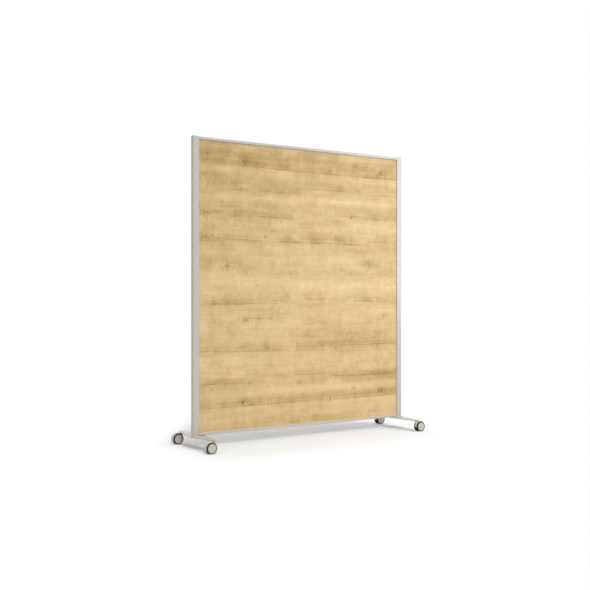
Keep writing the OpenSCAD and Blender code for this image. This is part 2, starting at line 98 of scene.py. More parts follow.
class Graph:
    """A material's node tree, built by short calls that each return an output socket."""

    def __init__(self, name: str) -> None:
        """Makes an empty material.

        Args:
            name: its name.
        """
        self.material = bpy.data.materials.new(name)
        self.material.use_nodes = True
        self.tree = self.material.node_tree
        self.tree.nodes.clear()

    def node(self, kind: str, **settings: object) -> bpy.types.Node:
        """Adds a node.

        Args:
            kind: Blender's name of its type.
            settings: its properties by name.

        Returns:
            The node.
        """
        made = self.tree.nodes.new(kind)
        for name, value in settings.items():
            setattr(made, name, value)
        return made

    def plug(self, value: object, socket: Socket) -> None:
        """Links a socket to an input, or writes a plain value on it.

        Args:
            value: the socket, or a number, a vector or a linear colour.
            socket: the input.
        """
        if isinstance(value, bpy.types.NodeSocket):
            self.tree.links.new(value, socket)
        elif isinstance(value, tuple) and socket.type == "RGBA":
            socket.default_value = (*value, 1.0)
        elif isinstance(value, (int, float)) and socket.type == "VECTOR":
            socket.default_value = (value, value, value)
        else:
            socket.default_value = value

    def math(self, operation: str, *values: Number, clamp: bool = False) -> Socket:
        """Adds a Math node.

        Args:
            operation: Blender's name of the operation, such as "MULTIPLY_ADD".
            values: its inputs in order.
            clamp: whether the result stays between 0 and 1.

        Returns:
            The result.
        """
        made = self.node("ShaderNodeMath", operation=operation, use_clamp=clamp)
        for value, socket in zip(values, made.inputs):
            self.plug(value, socket)
        return made.outputs[0]

    def vector(self, operation: str, *values: Union[Number, Vectorlike]) -> Socket:
        """Adds a Vector Math node.

        Args:
            operation: Blender's name of the operation.
            values: its inputs in order.

        Returns:
            The result, which is a number for a dot product or a length.
        """
        made = self.node("ShaderNodeVectorMath", operation=operation)
        for value, socket in zip(values, made.inputs):
            self.plug(value, socket)
        return made.outputs["Value" if operation in ("DOT_PRODUCT", "LENGTH") else "Vector"]

    def parts(self, vector: Socket) -> tuple[Socket, Socket, Socket]:
        """Splits a vector.

        Args:
            vector: the vector.

        Returns:
            Its X, Y and Z.
        """
        made = self.node("ShaderNodeSeparateXYZ")
        self.plug(vector, made.inputs[0])
        return made.outputs[0], made.outputs[1], made.outputs[2]

    def joined(self, x: Number, y: Number, z: Number) -> Socket:
        """Makes a vector.

        Args:
            x, y, z: its three numbers.

        Returns:
            The vector.
        """
        made = self.node("ShaderNodeCombineXYZ")
        for value, socket in zip((x, y, z), made.inputs):
            self.plug(value, socket)
        return made.outputs[0]

    def place(self) -> Socket:
        """Returns the object coordinates, which are the part's own metres."""
        return self.node("ShaderNodeTexCoord").outputs["Object"]

    def noise(self, vector: Socket, noise: Noise) -> Socket:
        """Adds a noise texture.

        Args:
            vector: where it is read.
            noise: its settings.

        Returns:
            A value around 0.5, between 0 and 1.
        """
        made = self.node("ShaderNodeTexNoise", noise_dimensions="3D")
        self.plug(vector, made.inputs["Vector"])
        made.inputs["Scale"].default_value = noise.scale
        made.inputs["Detail"].default_value = noise.detail
        made.inputs["Roughness"].default_value = noise.roughness
        return made.outputs["Fac"]

    def fade(self, value: Number, span: Span, result: Span = (0.0, 1.0)) -> Socket:
        """Maps a value from one range to another along a smooth step.

        Args:
            value: the value.
            span: the range that it is taken from.
            result: what the two ends of the range become.

        Returns:
            The mapped value.
        """
        made = self.node("ShaderNodeMapRange", interpolation_type="SMOOTHSTEP")
        for entry, socket in zip((value, *span, *result), made.inputs):
            self.plug(entry, socket)
        return made.outputs[0]

    def ramp(self, value: Socket, stops: Sequence[tuple[float, Triple]]) -> Socket:
        """Turns a value into a colour.

        Args:
            value: the value, between 0 and 1.
            stops: rows of (value, linear colour).

        Returns:
            The colour.
        """
        made = self.node("ShaderNodeValToRGB")
        while len(made.color_ramp.elements) < len(stops):
            made.color_ramp.elements.new(0.5)
        for element, (at, colour) in zip(made.color_ramp.elements, stops):
            element.position = at
            element.color = (*colour, 1.0)
        self.plug(value, made.inputs[0])
        return made.outputs[0]

    def blend(self, share: Number, first: object, second: object) -> Socket:
        """Mixes two colours.

        Args:
            share: 0 for the first one alone, 1 for the second one alone.
            first, second: the colours.

        Returns:
            The mixed colour.
        """
        made = self.node("ShaderNodeMix", data_type="RGBA")
        for value, socket in ((share, 0), (first, 6), (second, 7)):
            self.plug(value, made.inputs[socket])
        return made.outputs[2]

    def bump(self, height: Socket, depth: float) -> Socket:
        """Adds a bump.

        Args:
            height: its height, between 0 and 1.
            depth: the metres that a height of 1 stands for.

        Returns:
            The normal.
        """
        made = self.node("ShaderNodeBump")
        made.inputs["Strength"].default_value = 1.0
        made.inputs["Distance"].default_value = depth
        self.plug(height, made.inputs["Height"])
        return made.outputs[0]

    def surface(self, **inputs: object) -> bpy.types.Material:
        """Closes the material with a Principled shader.

        Args:
            inputs: its inputs by name, with _ for a space, as sockets or plain values.

        Returns:
            The finished material.
        """
        shader = self.node("ShaderNodeBsdfPrincipled")
        for name, value in inputs.items():
            self.plug(value, shader.inputs[name.replace("_", " ")])
        output = self.node("ShaderNodeOutputMaterial")
        self.tree.links.new(shader.outputs[0], output.inputs[0])
        return self.material


def looked_at(tree: bpy.types.NodeTree) -> Socket:
    """Adds nodes that tell the rays by which a surface shows from those that light it.

    Args:
        tree: the node tree of a material or of the world.

    Returns:
        1 for camera, glossy and transmission rays, and 0 for the rest.
    """
    path = tree.nodes.new("ShaderNodeLightPath")
    seen = path.outputs["Is Camera Ray"]
    for ray in ("Is Glossy Ray", "Is Transmission Ray"):
        either = tree.nodes.new("ShaderNodeMath")
        either.operation = "MAXIMUM"
        tree.links.new(seen, either.inputs[0])
        tree.links.new(path.outputs[ray], either.inputs[1])
        seen = either.outputs[0]
    return seen


# ---------------------------------------------------------------- surfaces


def rounded(corners: np.ndarray, radii: np.ndarray, steps: int = 8) -> np.ndarray:
    """Rounds the corners of a closed outline.

    At a corner P with unit directions a and b to its neighbours, the arc's middle lies on the
    bisector at radius / sin(half the angle), and the arc runs from the touching point on a to the
    one on b, as the two radii turned into each other (sin((1 - t)w) A + sin(tw) B) / sin(w).

    Args:
        corners: the corners in order, one row each.
        radii: the radius at each corner.
        steps: spans of each arc.

    Returns:
        The points of the rounded outline, one row each.
    """
    before = np.roll(corners, 1, axis=0) - corners
    after = np.roll(corners, -1, axis=0) - corners
    a = before / np.linalg.norm(before, axis=1, keepdims=True)
    b = after / np.linalg.norm(after, axis=1, keepdims=True)
    half = np.arccos(np.clip((a * b).sum(axis=1), -1.0, 1.0)) / 2
    bisector = (a + b) / np.linalg.norm(a + b, axis=1, keepdims=True)
    middle = corners + bisector * (radii / np.sin(half))[:, None]
    first = corners + a * (radii / np.tan(half))[:, None] - middle
    last = corners + b * (radii / np.tan(half))[:, None] - middle
    turn = np.pi - 2 * half
    share = np.linspace(0.0, 1.0, steps + 1)
    weight_a = (np.sin(np.outer(turn, 1 - share)) / np.sin(turn)[:, None])[..., None]
    weight_b = (np.sin(np.outer(turn, share)) / np.sin(turn)[:, None])[..., None]
    arcs = middle[:, None] + weight_a * first[:, None] + weight_b * last[:, None]
    return arcs.reshape(-1, 2)


def turned(
    profile: np.ndarray, middle: Triple, side: float, closed: bool, steps: int = 160
) -> np.ndarray:
    """Turns a profile around an axle that runs along Y.

    A profile point (out, radius) at the angle t lies at
    (middle x + radius cos t, middle y + side * out, middle z + radius sin t).

    Args:
        profile: rows of (distance out along the axle, radius).
        middle: the point of the axle that the distances start from.
        side: -1 for a wheel in front of that point, 1 for one behind it.
        closed: whether the last profile point joins the first one.
        steps: spans around the axle.

    Returns:
        The grid of points, angle by profile point by coordinate. A closed profile's first point
        is repeated at its end.
    """
    if closed:
        profile = np.vstack([profile, profile[:1]])
    angle = np.linspace(0.0, 2 * np.pi, steps + 1)[:, None]
    out, radius = profile[:, 0], profile[:, 1]
    return np.stack(
        [
            middle[0] + radius * np.cos(angle),
            middle[1] + side * out + 0 * angle,
            middle[2] + radius * np.sin(angle),
        ],
        axis=-1,
    )


def grid_mesh(name: str, grid: np.ndarray, seam: float = 1e-7) -> bpy.types.Mesh:
    """Makes a closed mesh of a grid of points, with its seams and poles merged.

    Args:
        name: the mesh's name.
        grid: rows by columns by coordinate.
        seam: the distance within which points are merged.

    Returns:
        The mesh, smooth but for its sharp edges, with its faces turned outwards.
    """
    rows, columns = grid.shape[:2]
    index = np.arange(rows * columns).reshape(rows, columns)
    quads = np.stack([index[:-1, :-1], index[1:, :-1], index[1:, 1:], index[:-1, 1:]], axis=-1)
    mesh = bpy.data.meshes.new(name)
    mesh.from_pydata(grid.reshape(-1, 3), [], quads.reshape(-1, 4).tolist())
    net = bmesh.new()
    net.from_mesh(mesh)
    bmesh.ops.remove_doubles(net, verts=net.verts, dist=seam)
    bmesh.ops.recalc_face_normals(net, faces=net.faces)
    net.to_mesh(mesh)
    net.free()
    mesh.shade_smooth()
    mesh.set_sharp_from_angle(angle=SMOOTH_ANGLE)
    return mesh


# ---------------------------------------------------------------- finishes


@dataclass(frozen=True)
class PowderCoat:
    """Fine-textured powder coat on aluminium and steel."""

    name: str = "warm_grey_powder_coat"
    colour: Triple = linear(177, 172, 162)
    shade: Triple = linear(171, 165, 154)
    roughness: Span = (0.20, 0.25)
    gloss: float = 0.6
    cloud: Noise = Noise(6.0, 3.0)
    cloud_span: Span = (0.2, 0.8)
    cloud_share: float = 0.65
    peel: Noise = Noise(1 / 0.0007, 2.0, 0.6)
    peel_span: Span = (0.35, 0.75)
    peel_share: float = 0.35
    peel_depth: float = 0.00003

    def material(self) -> bpy.types.Material:
        """Builds the coat.

        Its tone is the sum of a slow cloud and of the orange peel's heights, each by its share. The
        peel is a bump too, and the gloss follows the cloud.

        Returns:
            The material.
        """
        graph = Graph(self.name)
        place = graph.place()
        cloud = graph.noise(place, self.cloud)
        peel = graph.noise(place, self.peel)
        speckle = graph.fade(peel, self.peel_span)
        slow = graph.math("MULTIPLY", cloud, self.cloud_share)
        tone = graph.math("MULTIPLY_ADD", speckle, self.peel_share, slow)
        return graph.surface(
            Base_Color=graph.blend(tone, self.colour, self.shade),
            Roughness=graph.fade(cloud, self.cloud_span, self.roughness),
            Normal=graph.bump(peel, self.peel_depth),
            Specular_IOR_Level=self.gloss,
        )


@dataclass(frozen=True)
class MouldedPlastic:
    """Injection-moulded plastic with a spark-eroded grain and faint flow marks."""

    name: str
    colour: Triple
    shade: Triple
    roughness: Span = (0.45, 0.53)
    flow: Noise = Noise(45.0, 3.0, 0.55)
    flow_span: Span = (0.3, 0.7)
    gloss_span: Span = (0.25, 0.75)
    grain: Noise = Noise(1 / 0.0005, 1.0)
    grain_depth: float = 0.00002

    def material(self) -> bpy.types.Material:
        """Builds the plastic: flow marks in tone and gloss, and a bump for the grain.

        Returns:
            The material.
        """
        graph = Graph(self.name)
        place = graph.place()
        flow = graph.noise(place, self.flow)
        grain = graph.noise(place, self.grain)
        share = graph.fade(flow, self.flow_span)
        return graph.surface(
            Base_Color=graph.blend(share, self.colour, self.shade),
            Roughness=graph.fade(flow, self.gloss_span, self.roughness),
            Normal=graph.bump(grain, self.grain_depth),
        )


@dataclass(frozen=True)
class TyreRubber:
    """Dark polyurethane tread, a little dusty where it rolls."""

    name: str = "dark_tyre"
    colour: Triple = linear(27, 26, 26)
    dust: Triple = linear(88, 84, 78)
    roughness: Span = (0.56, 0.70)
    patches: Noise = Noise(160.0, 4.0, 0.6)
    patch_span: Span = (0.42, 0.80)
    gloss_span: Span = (0.3, 0.7)
    most_dust: float = 0.55
    dust_depth: float = 0.0012
    grain: Noise = Noise(1 / 0.0009)
    grain_depth: float = 0.00004
    axle_x: float = 0.79
    axle_z: float = 0.0325
    tread_radius: float = 0.0325

    def material(self) -> bpy.types.Material:
        """Builds the tread.

        The dust lies in patches within a small depth of the tread, which is measured as the distance
        from the nearest axle at rest.

        Returns:
            The material.
        """
        graph = Graph(self.name)
        place = graph.place()
        x, _, z = graph.parts(place)
        across = graph.math("SUBTRACT", graph.math("ABSOLUTE", x), self.axle_x)
        up = graph.math("SUBTRACT", z, self.axle_z)
        radius = graph.vector("LENGTH", graph.joined(across, 0.0, up))
        patches = graph.noise(place, self.patches)
        rolled = graph.fade(radius, (self.tread_radius - self.dust_depth, self.tread_radius))
        dusty = graph.fade(patches, self.patch_span, (0.0, self.most_dust))
        share = graph.math("MULTIPLY", rolled, dusty)
        grain = graph.noise(place, self.grain)
        return graph.surface(
            Base_Color=graph.blend(share, self.colour, self.dust),
            Roughness=graph.fade(patches, self.gloss_span, self.roughness),
            Normal=graph.bump(grain, self.grain_depth),
        )


@dataclass(frozen=True)
class ZincSteel:
    """Bright zinc-plated steel with fine turning lines."""

    name: str = "zinc_steel"
    colour: Triple = linear(186, 187, 188)
    shade: Triple = linear(158, 159, 162)
    roughness: Span = (0.30, 0.42)
    spangle: Noise = Noise(260.0)
    spangle_span: Span = (0.3, 0.7)
    lines: Triple = (60.0, 60.0, 4000.0)
    line_depth: float = 0.00001

    def material(self) -> bpy.types.Material:
        """Builds the plating: spangled tone and gloss, and a bump of lines that lie across Z.

        Returns:
            The material.
        """
        graph = Graph(self.name)
        place = graph.place()
        spangle = graph.noise(place, self.spangle)
        lines = graph.noise(graph.vector("MULTIPLY", place, self.lines), Noise(1.0))
        share = graph.fade(spangle, self.spangle_span)
        return graph.surface(
            Base_Color=graph.blend(share, self.colour, self.shade),
            Metallic=1.0,
            Roughness=graph.fade(spangle, self.spangle_span, self.roughness),
            Normal=graph.bump(lines, self.line_depth),
        )


@dataclass(frozen=True)
class Patch:
    """A soft oval on the veneer: its middle and its half sizes."""

    x: float
    z: float
    half_x: float
    half_z: float


@dataclass(frozen=True)
class Knot:
    """A knot with a dark core, a brown halo and grain that bends round it."""

    x: float
    z: float
    size: float
    depth: float


KNOTS: tuple[Knot, ...] = (
    Knot(-0.685, 1.755, 0.020, 0.7), Knot(-0.455, 1.725, 0.030, 1.0), Knot(0.200, 1.722, 0.028, 1.0),
    Knot(0.395, 1.765, 0.020, 0.8), Knot(0.622, 1.732, 0.026, 1.0), Knot(0.150, 1.735, 0.016, 0.5),
    Knot(-0.470, 1.552, 0.015, 0.9), Knot(-0.600, 1.470, 0.012, 0.5), Knot(-0.714, 1.402, 0.028, 1.0),
    Knot(-0.178, 1.370, 0.020, 0.7), Knot(0.375, 1.416, 0.024, 1.0), Knot(-0.293, 1.272, 0.020, 0.8),
    Knot(-0.714, 1.252, 0.026, 0.9), Knot(-0.600, 1.226, 0.018, 0.6), Knot(0.376, 1.268, 0.020, 0.8),
    Knot(0.490, 1.236, 0.018, 0.6), Knot(-0.568, 1.084, 0.030, 0.8), Knot(-0.484, 1.060, 0.012, 0.5),
    Knot(0.045, 1.076, 0.014, 0.5), Knot(0.295, 1.074, 0.016, 0.6), Knot(0.525, 1.110, 0.045, 0.5),
    Knot(0.150, 0.886, 0.014, 0.5), Knot(-0.045, 0.874, 0.014, 0.6), Knot(0.410, 0.868, 0.018, 0.5),
    Knot(-0.665, 0.858, 0.020, 0.6), Knot(-0.432, 0.752, 0.032, 1.0), Knot(-0.657, 0.766, 0.016, 0.5),
    Knot(-0.250, 0.770, 0.022, 0.5), Knot(-0.345, 0.768, 0.016, 0.5), Knot(0.145, 0.714, 0.016, 0.6),
    Knot(0.652, 0.766, 0.036, 0.9), Knot(-0.545, 0.628, 0.012, 0.9), Knot(0.535, 0.640, 0.014, 0.6),
    Knot(-0.278, 0.574, 0.030, 0.7), Knot(0.240, 0.562, 0.018, 0.7), Knot(-0.234, 0.465, 0.016, 0.6),
    Knot(-0.404, 0.372, 0.018, 0.6), Knot(-0.320, 0.374, 0.018, 0.6), Knot(0.250, 0.370, 0.018, 0.5),
    Knot(-0.686, 0.282, 0.014, 0.6), Knot(-0.455, 0.254, 0.028, 1.0), Knot(0.202, 0.240, 0.024, 1.0),
    Knot(0.394, 0.296, 0.018, 0.8), Knot(0.622, 0.264, 0.028, 1.0), Knot(-0.450, 0.135, 0.012, 0.4),
)


@dataclass(frozen=True)
class Streak:
    """A dark line of late wood that closes a band: its two ends, its height and its depth."""

    start: float
    end: float
    z: float
    depth: float


STREAKS: tuple[Streak, ...] = (
    Streak(-0.62, 0.06, 1.696, 0.75), Streak(0.05, 0.30, 1.700, 0.45), Streak(0.36, 0.78, 1.694, 0.95),
    Streak(-0.46, 0.02, 1.553, 0.60), Streak(0.06, 0.36, 1.586, 0.60), Streak(0.60, 0.80, 1.574, 0.50),
    Streak(-0.80, -0.40, 1.412, 0.55), Streak(-0.44, -0.12, 1.392, 0.60), Streak(0.26, 0.50, 1.424, 0.55),
    Streak(0.50, 0.80, 1.414, 0.40), Streak(-0.06, 0.12, 1.338, 0.50), Streak(0.16, 0.36, 1.356, 0.60),
    Streak(-0.80, -0.62, 1.232, 0.80), Streak(-0.66, -0.36, 1.246, 0.55), Streak(-0.30, 0.10, 1.240, 0.95),
    Streak(0.04, 0.46, 1.238, 0.85), Streak(0.50, 0.74, 1.262, 0.50), Streak(-0.46, 0.10, 1.150, 0.20),
    Streak(-0.20, 0.62, 1.040, 0.20), Streak(-0.80, -0.52, 0.858, 0.70), Streak(-0.60, -0.36, 0.852, 0.70),
    Streak(-0.32, -0.04, 0.870, 0.80), Streak(-0.06, 0.20, 0.880, 0.45), Streak(0.34, 0.76, 0.864, 0.60),
    Streak(-0.46, -0.18, 0.762, 0.50), Streak(0.02, 0.18, 0.728, 0.55), Streak(0.18, 0.78, 0.580, 0.65),
    Streak(-0.80, -0.54, 0.570, 0.60), Streak(-0.60, -0.22, 0.562, 0.60), Streak(-0.22, -0.08, 0.388, 0.45),
    Streak(-0.12, 0.12, 0.404, 0.60), Streak(0.18, 0.52, 0.382, 0.70), Streak(0.44, 0.80, 0.374, 0.75),
    Streak(-0.80, -0.46, 0.374, 0.55), Streak(-0.68, 0.10, 0.232, 0.70), Streak(0.34, 0.80, 0.232, 0.80),
    Streak(-0.30, 0.30, 0.108, 0.45),
)


@dataclass(frozen=True)
class Band(Patch):
    """A soft patch that makes the veneer darker by its depth, or paler where that is below 0.
    Most are bands of tone in the wood; the broad one on the upper left is painted shade.
    """

    depth: float


# Bands of tone in the veneer. The broad patch at (-0.68, 1.560) is painted shade: it darkens the upper left
# of the board, where less light falls.
BANDS_AND_SHADE: tuple[Band, ...] = (
    Band(0.00, 1.765, 1.20, 0.045, 0.55), Band(0.25, 1.510, 0.55, 0.022, -0.42),
    Band(-0.55, 1.500, 0.25, 0.030, -0.35), Band(0.45, 1.350, 0.40, 0.040, -0.50),
    Band(0.10, 1.600, 0.90, 0.045, 0.15), Band(0.20, 1.140, 0.45, 0.045, -0.40),
    Band(0.20, 0.965, 0.50, 0.050, -0.45), Band(-0.45, 0.985, 0.45, 0.030, -0.20),
    Band(-0.15, 0.720, 0.14, 0.030, -0.45), Band(0.05, 0.310, 0.75, 0.025, -0.30),
    Band(0.55, 0.360, 0.45, 0.050, 0.35), Band(-0.55, 0.350, 0.40, 0.045, 0.35),
    Band(0.10, 0.260, 1.00, 0.030, 0.30), Band(0.00, 0.100, 1.20, 0.040, 0.20),
    Band(-0.05, 0.590, 0.60, 0.060, 0.15), Band(0.65, 1.725, 0.050, 0.026, 0.34),
    Band(-0.42, 1.735, 0.045, 0.024, 0.28), Band(0.65, 0.260, 0.050, 0.024, 0.26),
    Band(-0.42, 0.262, 0.040, 0.022, 0.26), Band(0.50, 1.115, 0.100, 0.030, 0.50),
    # Painted shade: the first patch on this row darkens the upper left of the board.
    Band(-0.68, 1.560, 0.60, 0.420, 0.50), Band(0.30, 0.640, 0.35, 0.050, 0.20),
)


@dataclass(frozen=True)
class Figure:
    """A noise that is drawn out along the board: its cells per metre along and up, and its weight."""

    along: float
    up: float
    detail: float = 2.0
    roughness: float = 0.5
    weight: float = 1.0


@dataclass(frozen=True)
class Sheet:
    """A sheet of veneer in its material: the place along it and up it, and its part of the noises."""

    graph: Graph
    x: Socket
    z: Socket
    part: Socket

    def figure(self, figure: Figure, height: Socket) -> Socket:
        """Reads the noise of a figure.

        Args:
            figure: the figure.
            height: the height that it is read at.

        Returns:
            A value around 0.5, between 0 and 1.
        """
        up = self.graph.math("MULTIPLY", height, figure.up)
        along = self.graph.math("MULTIPLY", self.x, figure.along)
        at = self.graph.joined(along, self.part, up)
        return self.graph.noise(at, Noise(1.0, figure.detail, figure.roughness))

    def swing(self, figure: Figure, height: Socket) -> Socket:
        """Reads the noise of a figure at a height, with its middle moved to 0."""
        return self.graph.math("SUBTRACT", self.figure(figure, height), 0.5)


@dataclass(frozen=True)
class OakVeneer:
    """Light oak with level grain: bands closed by late wood, cross figure, pores and knots."""

    # The wood's colours by tone, the knots' colour, and the gloss, which follows the tone too.
    name: str = "light_oak"
    dark: Triple = linear(128, 101, 56)
    brown: Triple = linear(166, 138, 88)
    middle: Triple = linear(193, 165, 118)
    light: Triple = linear(209, 181, 136)
    pale: Triple = linear(228, 206, 165)
    tones: tuple[float, ...] = (0.00, 0.28, 0.54, 0.76, 1.00)
    core: Triple = linear(118, 86, 42)
    roughness: Span = (0.56, 0.46)
    gloss_span: Span = (0.3, 0.8)
    gloss: float = 0.35
    relief_depth: float = 0.00004

    # The sheet on the back, and how far lines wander and shake.
    middle_z: float = 0.961
    back_part: float = 7.3
    wander: Figure = Figure(1.6, 5.0, weight=0.030)
    shake_x: Figure = Figure(75.0, 85.0, 3.0, 0.65, 0.022)
    shake_z: Figure = Figure(38.0, 75.0, 3.0, 0.65, 0.014)
    shake_apart: float = 5.0
    line_shake: float = 0.005

    # The tone without any mark: figures that bend round the knots, and figures that don't.
    start: float = 0.568
    bent_figures: tuple[Figure, ...] = (
        Figure(0.8, 11.0, 3.0, 0.55, 0.38), Figure(5.0, 17.0, 3.0, 0.60, 0.33),
        Figure(2.8, 58.0, 5.0, 0.62, 0.28), Figure(9.0, 330.0, 4.0, 0.70, 0.15),
    )
    level_figures: tuple[Figure, ...] = (
        Figure(13.0, 8.0, weight=0.26), Figure(26.0, 24.0, 3.0, 0.60, 0.26),
    )

    # Bands of tone with one broad patch of painted shade, and late wood as a thin line with a softer shade
    # above it, broken along its length.
    band_weight: float = -0.32
    late_weight: float = -0.38
    line_reach: float = 1.15
    line_half: float = 0.0030
    line_weight: float = 0.85
    shade_lift: float = 0.0171
    shade_half: float = 0.0225
    shade_weight: float = 0.46
    breaks: Figure = Figure(9.0, 14.0, 3.0, 0.60)
    break_span: Span = (0.36, 0.62)
    break_range: Span = (0.45, 1.35)

    # Knots and pin knots.
    knot_flatness: float = 0.75
    knot_tightness: float = 15.0
    knot_push: float = -0.35
    halo_weight: float = -0.11
    core_span: Span = (0.15, 0.75)
    core_darkness: float = 0.80
    pin_scale: float = 9.0
    pin_lots: Span = (0.45, 0.75)
    pin_reach: Span = (0.010, 0.060)
    pin_darkness: float = 0.60

    # Flecks that cross the grain, pieces of grain with a tone each, and pores.
    flecks: Figure = Figure(95.0, 26.0, 2.0, 0.60)
    fleck_patches: Figure = Figure(3.5, 6.0)
    fleck_span: Span = (0.45, 0.70)
    fleck_least: float = 0.04
    fleck_in_patch: float = 0.38
    fleck_by_knot: float = 1.6
    cut_weight: float = 0.30
    cut_rows: float = 13.0
    cut_columns: float = 9.0
    cut_stagger: float = 0.37
    cut_stride: float = 5.3
    pores: Figure = Figure(38.0, 950.0, 1.0, weight=-0.20)
    pore_span: Span = (0.60, 0.70)
    pore_relief: float = -0.6

    def material(self) -> bpy.types.Material:
        """Builds the veneer.

        The tone of a point is a sum of noises that are drawn out along the board, less soft marks
        exp(-(dx / half_x)^2 - (dz / half_z)^2) for bands, late wood and knots; one broad band is painted
        shade that darkens the upper left of the board. The height that the grain is read at is pushed
        away from each knot, so that the lines bend round it. Short upright flecks cross the grain, most
        of all beside the knots, and short pieces of grain have a tone each. Pin knots lie scattered
        among the knots.

        Returns:
            The material.
        """
        graph = Graph(self.name)
        sheet = self.sheet(graph)
        drift = sheet.swing(self.wander, sheet.z)
        z_slow = graph.math("MULTIPLY_ADD", drift, self.wander.weight, sheet.z)
        shake_x = sheet.swing(self.shake_x, sheet.z)
        shake_z = sheet.swing(self.shake_z, graph.math("ADD", sheet.z, self.shake_apart))
        here = graph.joined(
            graph.math("MULTIPLY_ADD", shake_x, self.shake_x.weight, sheet.x), 0.0,
            graph.math("MULTIPLY_ADD", shake_z, self.shake_z.weight, z_slow),
        )
        core, halo, bend = self.knots(graph, here)
        z_bent = graph.math("ADD", z_slow, bend)
        z_line = graph.math("MULTIPLY_ADD", shake_z, self.line_shake, z_bent)
        bands_and_shade, streaks = self.marks(graph, graph.joined(sheet.x, 0.0, z_line))
        broken = sheet.figure(self.breaks, z_bent)
        breaks = graph.fade(broken, self.break_span, self.break_range)

        flecks = sheet.swing(self.flecks, sheet.z)
        patches = graph.fade(sheet.figure(self.fleck_patches, sheet.z), self.fleck_span)
        crossing = graph.math("MULTIPLY_ADD", patches, self.fleck_in_patch, self.fleck_least)
        crossing = graph.math("MULTIPLY_ADD", halo, self.fleck_by_knot, crossing)
        figures = [(sheet.figure(one, z_bent), one.weight) for one in self.bent_figures]
        figures += [(sheet.figure(one, sheet.z), one.weight) for one in self.level_figures]
        tone = self.total(graph, figures)
        # Bands of tone in the wood, and one broad patch of painted shade on the upper left.
        tone = graph.math("MULTIPLY_ADD", bands_and_shade, self.band_weight, tone)
        late_wood = graph.math("MULTIPLY", streaks, breaks)
        tone = graph.math("MULTIPLY_ADD", late_wood, self.late_weight, tone)
        tone = graph.math("MULTIPLY_ADD", halo, self.halo_weight, tone)
        tone = graph.math("MULTIPLY_ADD", flecks, crossing, tone)
        cuts = self.cuts(graph, sheet)
        tone = graph.math("MULTIPLY_ADD", cuts, self.cut_weight, tone)
        pores = graph.fade(sheet.figure(self.pores, z_bent), self.pore_span)
        tone = graph.math("MULTIPLY_ADD", pores, self.pores.weight, tone, clamp=True)

        colours = (self.dark, self.brown, self.middle, self.light, self.pale)
        wood = graph.ramp(tone, tuple(zip(self.tones, colours)))
        dark = graph.math("MAXIMUM", core, self.pin_knots(graph, here))
        relief = graph.math("MULTIPLY_ADD", pores, self.pore_relief, flecks)
        return graph.surface(
            Base_Color=graph.blend(dark, wood, self.core),
            Roughness=graph.fade(tone, self.gloss_span, self.roughness),
            Normal=graph.bump(relief, self.relief_depth),
            Specular_IOR_Level=self.gloss,
        )

    def sheet(self, graph: Graph) -> Sheet:
        """Lays the sheets on the two faces.

        The back face carries the sheet turned over, at another part of the noises, so that it isn't
        a mirror image of the front.

        Args:
            graph: the material's nodes.

        Returns:
            The coordinates on the sheet.
        """
        x, y, z = graph.parts(graph.place())
        back = graph.math("GREATER_THAN", y, 0.0)
        over = graph.math("SUBTRACT", 2 * self.middle_z, z)
        change = graph.math("MULTIPLY", back, graph.math("SUBTRACT", over, z))
        z = graph.math("ADD", z, change)
        return Sheet(graph, x, z, graph.math("MULTIPLY", back, self.back_part))

    def total(self, graph: Graph, figures: Sequence[tuple[Socket, float]]) -> Socket:
        """Adds up the figures: start + sum of weight * (noise - 0.5).

        Args:
            graph: the material's nodes.
            figures: rows of (noise, weight).

        Returns:
            The tone.
        """
        found: Number = self.start - 0.5 * sum(weight for _, weight in figures)
        for noise, weight in figures:
            found = graph.math("MULTIPLY_ADD", noise, weight, found)
        return found

    def cuts(self, graph: Graph, sheet: Sheet) -> Socket:
        """Gives short pieces of grain a tone each, with upright ends and soft long edges.

        The sheet is cut in rows, and each row in columns that are shifted from row to row. The tone
        is a noise of the column's number, times sin(pi * share of the row's height).

        Args:
            graph: the material's nodes.
            sheet: the coordinates on the sheet.

        Returns:
            The tone, around 0.
        """
        height = graph.math("MULTIPLY", sheet.z, self.cut_rows)
        row = graph.math("FLOOR", height)
        shift = graph.math("MULTIPLY", row, self.cut_stagger)
        along = graph.math("MULTIPLY_ADD", sheet.x, self.cut_columns, shift)
        column = graph.math("MULTIPLY", graph.math("FLOOR", along), self.cut_stride)
        noise = graph.noise(graph.joined(column, row, 0.5), Noise(1.0, 1.0))
        lot = graph.math("SUBTRACT", noise, 0.5)
        rise = graph.math("SINE", graph.math("MULTIPLY", graph.math("FRACT", height), math.pi))
        return graph.math("MULTIPLY", lot, rise)

    def pin_knots(self, graph: Graph, here: Socket) -> Socket:
        """Scatters pin knots: in some cells of a random net, a small dark spot near the middle.

        Args:
            graph: the material's nodes.
            here: the point, already shaken.

        Returns:
            The share of the core's colour.
        """
        x, _, z = graph.parts(here)
        net = graph.node("ShaderNodeTexVoronoi", voronoi_dimensions="2D")
        graph.plug(graph.joined(x, z, 0.0), net.inputs["Vector"])
        net.inputs["Scale"].default_value = self.pin_scale
        lot, _, _ = graph.parts(net.outputs["Color"])
        chosen = graph.fade(lot, self.pin_lots)
        spot = graph.fade(net.outputs["Distance"], self.pin_reach, (self.pin_darkness, 0.0))
        return graph.math("MULTIPLY", chosen, spot)

    @staticmethod
    def bell(graph: Graph, here: Socket, patch: Patch) -> tuple[Socket, Socket]:
        """Measures how near a point is to the middle of a patch.

        Args:
            graph: the material's nodes.
            here: the point.
            patch: the patch.

        Returns:
            The offset in half sizes, and exp(-offset squared).
        """
        scale = (1 / patch.half_x, 0.0, 1 / patch.half_z)
        shift = (-patch.x / patch.half_x, 0.0, -patch.z / patch.half_z)
        offset = graph.vector("MULTIPLY_ADD", here, scale, shift)
        squared = graph.vector("DOT_PRODUCT", offset, offset)
        return offset, graph.math("POWER", math.exp(-1), squared)

